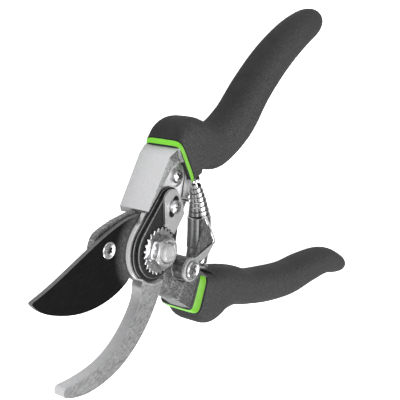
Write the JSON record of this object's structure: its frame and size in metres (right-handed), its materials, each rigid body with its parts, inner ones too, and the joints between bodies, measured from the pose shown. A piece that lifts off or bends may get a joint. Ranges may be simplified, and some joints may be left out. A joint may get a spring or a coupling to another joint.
{
  "type": "pruning shears",
  "caption": "Hand pruner drawn open: a curved black cutting blade passes a steel hook on a nut-locked pivot, with soft curved grips and a coil return spring.",
  "frame": {"origin": "pivot axis at the outer face of the pivot bolt head, the face the tool lies on", "axes": "+X from the blades to the handles, +Y towards the upper handle, +Z along the pivot axis from the bolt head to the nut"},
  "size_m": [0.2427, 0.1739, 0.0272],
  "materials": {
    "satin_aluminium": "satin, shot and polished",
    "cast_aluminium": "cast, brushed",
    "grip_rubber": "fine-grained matte soft touch",
    "green_trim": "satin moulded",
    "hook_steel": "ground, brushed",
    "coated_blade": "non-stick coating, semi-matte",
    "black_plate": "grainy black oxide",
    "bright_chrome": "polished",
    "lock_plate_steel": "brushed",
    "screw_steel": "zinc plated",
    "bush_brass": "turned"
  },
  "bodies": {
    "upper_handle": {"upper_handle_forging": "satin_aluminium", "upper_grip": "grip_rubber", "upper_trim": "green_trim", "hook_blade": "hook_steel", "hook_screw": "screw_steel", "stop_pin": "screw_steel", "cover_plate_under": "black_plate", "cover_plate": "black_plate", "toothed_disc": "bright_chrome", "lock_screw": "screw_steel", "pivot_bolt": "screw_steel", "pivot_washer": "screw_steel", "pivot_nut": "bright_chrome", "catch_pin": "screw_steel", "upper_spring_peg": "screw_steel", "return_spring": "bright_chrome"},
    "lower_handle": {"lower_handle_forging": "cast_aluminium", "lower_grip": "grip_rubber", "lower_trim": "green_trim", "spring_seat": "screw_steel", "pivot_bush": "bush_brass", "cutting_blade": "coated_blade", "blade_screw": "screw_steel", "catch_screw": "screw_steel"},
    "catch": {"catch_lever": "bright_chrome"},
    "lock": {"lock_plate": "lock_plate_steel"}
  },
  "joints": [
    {"name": "handle_pivot", "type": "hinge", "parent": "upper_handle", "child": "lower_handle", "pos_m": [0, 0, 0.012], "axis": [0, 0, 1], "range_deg": [0, 34], "stiffness_Nm_per_rad": 1.2, "springref_deg": -14.32, "deforming": ["return_spring"]},
    {"name": "catch_swing", "type": "hinge", "parent": "lower_handle", "child": "catch", "pos_m": [0.0136, -0.0203, 0.0222], "axis": [0, 0, 1], "range_deg": [0, 8]},
    {"name": "lock_slide", "type": "slide", "parent": "upper_handle", "child": "lock", "axis": [0.7771, 0.6293, 0], "range_m": [0, 0.0025]}
  ]
}
